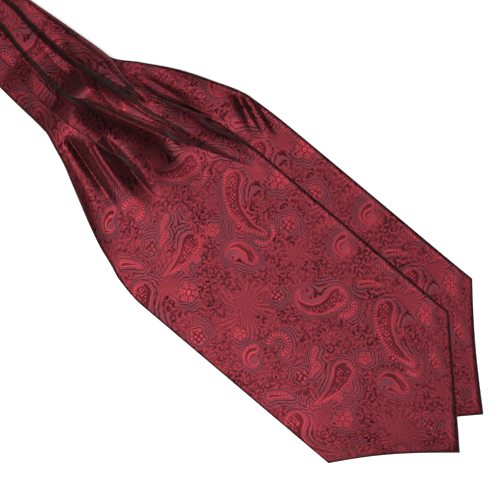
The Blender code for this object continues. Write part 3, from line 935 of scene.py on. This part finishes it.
def silkMaterial():
    # jacquard silk: a dull ground, satin motifs, mauve echo lines round them and a dark fill
    for build in (commaGroup, blossomGroup, roundGroup, clusterGroup, sprayGroup):
        build()
    material = bpy.data.materials.new("paisleySilk")
    material.use_nodes = True
    tree = material.node_tree
    shader = tree.nodes["Principled BSDF"]
    source = tree.nodes.new("ShaderNodeUVMap")
    source.uv_map = "clothPlace"
    flat = Wire(source.outputs["UV"]).vector("MULTIPLY", (uvUnit, uvUnit, 0))
    across, along = flat.parts()[:2]
    joined = tree.nodes.new("ShaderNodeCombineXYZ")
    plug(joined.inputs["X"], across)
    plug(joined.inputs["Y"], along - across * paisley["lean"])
    place = shaken(Wire(joined.outputs[0]), flat, "wobble")
    ragged = shaken(place, flat, "ragged")

    comma, rim = drawCommas(place)
    blossom, bloomed = drawBlossoms(place)
    spray, stroke = drawSprays(ragged)
    bright = drawSatin(place, comma, rim, bloomed)
    strength = paisley["strength"]

    # echo lines run round every motif as far as a slow noise lets them
    motif = comma.math("MINIMUM", blossom)
    echoed = motif.above(0.0) * motif.below(patchy(flat, "reach", clamp=False))
    scale, detail, moved = paisley["worn"]
    worn = noise(flat, scale=scale, detail=detail)
    echo = (motif + worn * moved).math("WRAP", paisley["echoStep"], 0.0)
    mauve = echo.within(*paisley["mauveBand"]) * echoed
    mauve = mauve * worn.math("MULTIPLY_ADD", 4.0, -1.1, clamp=True)
    dark = echo.below(paisley["darkBand"]) * echoed

    # the fill, darker in some patches and worn into flecks, wherever there is nothing else
    scroll = drawScrolls(ragged)
    patch = patchy(flat, "fill")
    filled = echoed.flipped() * motif.above(0.0) * spray.above(0.0)
    fill = scroll.below(-0.15) * patch.math("MULTIPLY_ADD", 0.65, 0.35) * filled
    fill = fill * worn.math("MULTIPLY_ADD", 4.0, -1.0, clamp=True)
    flecks = patchy(flat, "flecks") * filled * patch.math("MULTIPLY_ADD", 0.35, 0.65)
    fill = fill.orElse(flecks)
    lit = scroll.above(0.75) * filled * strength["litScroll"]

    # the strokes of the sprays, and the dark between the satin parts of a motif
    strokes = spray.below(0.0) * motif.above(0.0)
    dark = dark.orElse(fill).orElse(stroke.below(-0.55) * strokes * strength["darkStroke"])
    core = (comma * (2 * math.pi / paisley["coreStep"])).math("COSINE").below(0.1)
    gaps = motif.below(0.0) * bright.above(0.1).flipped()
    dark = dark.orElse(gaps * core.math("MULTIPLY_ADD", 0.45, 0.45))
    bright = bright.orElse(lit).orElse(stroke.above(0.6) * strokes * strength["litStroke"])

    # the colours, laid over each other, with the dark weaker in some patches
    dark = dark * patchy(flat, "tone").math("MULTIPLY_ADD", -0.4, 1.0)
    halo = motif.math("MULTIPLY_ADD", -0.1, 1.0, clamp=True) * patchy(flat, "flush")
    colour = mixed(mauve * strength["mauve"], paisley["ground"], paisley["mauve"])
    colour = mixed(halo * strength["halo"], colour, paisley["satin"])
    colour = mixed(dark * strength["dark"], colour, paisley["shade"])
    colour = mixed(bright, colour, paisley["satin"])
    # painted shade: a dark outline mixed into the base colour along the turned edges
    colour = mixed(paintedEdgeShade(tree), colour, paisley["shade"])
    plug(shader.inputs["Base Color"], colour)
    smoother = silkFinish["satinRoughness"] - silkFinish["roughness"]
    plug(shader.inputs["Roughness"], bright.math("MULTIPLY_ADD", smoother, silkFinish["roughness"]))
    shader.inputs["Metallic"].default_value = silkFinish["metallic"]
    shader.inputs["Specular IOR Level"].default_value = silkFinish["specular"]
    shader.inputs["Specular Tint"].default_value = silkFinish["specularTint"]
    shader.inputs["Sheen Weight"].default_value = silkFinish["sheen"]
    shader.inputs["Sheen Roughness"].default_value = silkFinish["sheenRoughness"]

    # relief: a fine slanting twill, uneven threads and the faint waviness of pressed silk
    twill = ((across + along) * (2 * math.pi / silkFinish["twillStep"])).math("SINE")
    threads, waves = (
        noise(flat, scale=scale, detail=detail)
        for scale, detail in (silkFinish["threadNoise"], silkFinish["waveNoise"])
    )
    height = twill * silkFinish["twill"] + threads * silkFinish["threads"]
    bump = tree.nodes.new("ShaderNodeBump")
    bump.inputs["Distance"].default_value = mm
    bump.inputs["Strength"].default_value = silkFinish["bump"]
    plug(bump.inputs["Height"], height + waves * silkFinish["waves"])
    tree.links.new(bump.outputs["Normal"], shader.inputs["Normal"])
    print("silk dyed")
    return material


silk = silkMaterial()
frontGrid = bladeSurface(frontBlade, rowHeights(frontTip[1], *frontBlade["rows"]), 0.0)
backGrid = bladeSurface(backBlade, rowHeights(backTip[1], *backBlade["rows"]), 1.0)
neckGrid = neckSurface()

frontPlaces = clothPlaces(frontGrid)
seamAlong = frontPlaces[-1, frontPlaces.shape[1] // 2, 1]
front = layPiece("frontBlade", frontGrid, frontPlaces, [True], silk)
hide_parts("front_blade")
neck = layPiece("neckbandPleats", neckGrid, clothPlaces(neckGrid, seamAlong), [], silk)
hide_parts("neckband")
back = layPiece("backBlade", backGrid, clothPlaces(backGrid), [True], silk)
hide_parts("back_blade")

view = {
    "centre": (12.4, 152.4),  # what the middle of the picture shows
    "width": 394.0,
    "lens": 120.0,
    "sensor": 36.0,
    "clip": (0.05, 20),
    "right": (0.6459, -0.7634),  # direction of the picture's lower edge over the table
}


def placeCamera():
    # straight above the cloth, as far up as makes the picture as wide as it has to be
    data = bpy.data.cameras.new("overhead")
    data.lens = view["lens"]
    data.sensor_width = view["sensor"]
    height = view["width"] * view["lens"] / data.sensor_width
    data.clip_start, data.clip_end = view["clip"]
    camera = bpy.data.objects.new("overhead", data)
    bpy.context.scene.collection.objects.link(camera)
    rx, ry = view["right"]
    x, y = view["centre"][0] + middleX, view["centre"][1] + middleY
    camera.matrix_world = Matrix((
        (rx, -ry, 0, x * mm),
        (ry, rx, 0, y * mm),
        (0, 0, 1, height * mm),
        (0, 0, 0, 1),
    ))
    bpy.context.scene.camera = camera


lamps = {
    "key": {"from": (-0.39, -0.11, 1.6), "size": (1.3, 1.7), "power": 28.8},
    "overhead": {"from": (0.0, 0.0, 1.9), "size": (0.5, 0.5), "power": 1.0},
    # brightness at the horizon and overhead, and the sines between which it fades
    "backdrop": {"low": 0.8, "high": 0.03, "from": 0.06, "to": 0.42},
}


def lightTable():
    # two soft lamps that face the middle of the table, and a studio round them
    for name in ("key", "overhead"):
        lamp = bpy.data.lights.new(name, "AREA")
        lamp.shape = "RECTANGLE"
        lamp.size, lamp.size_y = lamps[name]["size"]
        lamp.energy = lamps[name]["power"]
        holder = bpy.data.objects.new(name, lamp)
        place = Matrix.Translation(lamps[name]["from"])
        aim = place.translation.to_track_quat("Z", "Y").to_matrix().to_4x4()
        holder.matrix_world = place @ aim
        bpy.context.scene.collection.objects.link(holder)
    world = bpy.data.worlds.new("studio")
    world.use_nodes = True
    # brightness eases down with the sine of the angle above the horizon
    backdrop = lamps["backdrop"]
    nodes, links = world.node_tree.nodes, world.node_tree.links
    nodes["Background"].inputs["Color"].default_value = (1, 1, 1, 1)
    around = nodes.new("ShaderNodeTexCoord")
    parts = nodes.new("ShaderNodeSeparateXYZ")
    fade = nodes.new("ShaderNodeMapRange")
    fade.interpolation_type = "SMOOTHSTEP"
    links.new(around.outputs["Generated"], parts.inputs[0])
    links.new(parts.outputs["Z"], fade.inputs["Value"])
    fade.inputs["From Min"].default_value = backdrop["from"]
    fade.inputs["From Max"].default_value = backdrop["to"]
    fade.inputs["To Min"].default_value = backdrop["low"]
    fade.inputs["To Max"].default_value = backdrop["high"]
    links.new(fade.outputs["Result"], nodes["Background"].inputs["Strength"])
    bpy.context.scene.world = world
    bpy.context.scene.view_settings.view_transform = "Standard"


table = {
    "side": 3.0,
    "below": 0.0002,  # just clear of the cloth
    "colour": (0.93, 0.93, 0.93, 1),
    "roughness": 0.8,
    "glow": 0.5,
}


def layFloor():
    # a pale square that gives off a little light of its own
    side = table["side"]
    mesh = bpy.data.meshes.new("paleTable")
    corners = [(-side, -side, 0), (side, -side, 0), (side, side, 0), (-side, side, 0)]
    mesh.from_pydata(corners, [], [(0, 1, 2, 3)])
    material = bpy.data.materials.new("paleTable")
    material.use_nodes = True
    shader = material.node_tree.nodes["Principled BSDF"]
    shader.inputs["Base Color"].default_value = table["colour"]
    shader.inputs["Roughness"].default_value = table["roughness"]
    shader.inputs["Emission Color"].default_value = (1, 1, 1, 1)
    shader.inputs["Emission Strength"].default_value = table["glow"]
    mesh.materials.append(material)
    floor = bpy.data.objects.new("paleTable", mesh)
    floor.location.z = -table["below"]
    bpy.context.scene.collection.objects.link(floor)


placeCamera()
lightTable()
layFloor()
print("studio set")
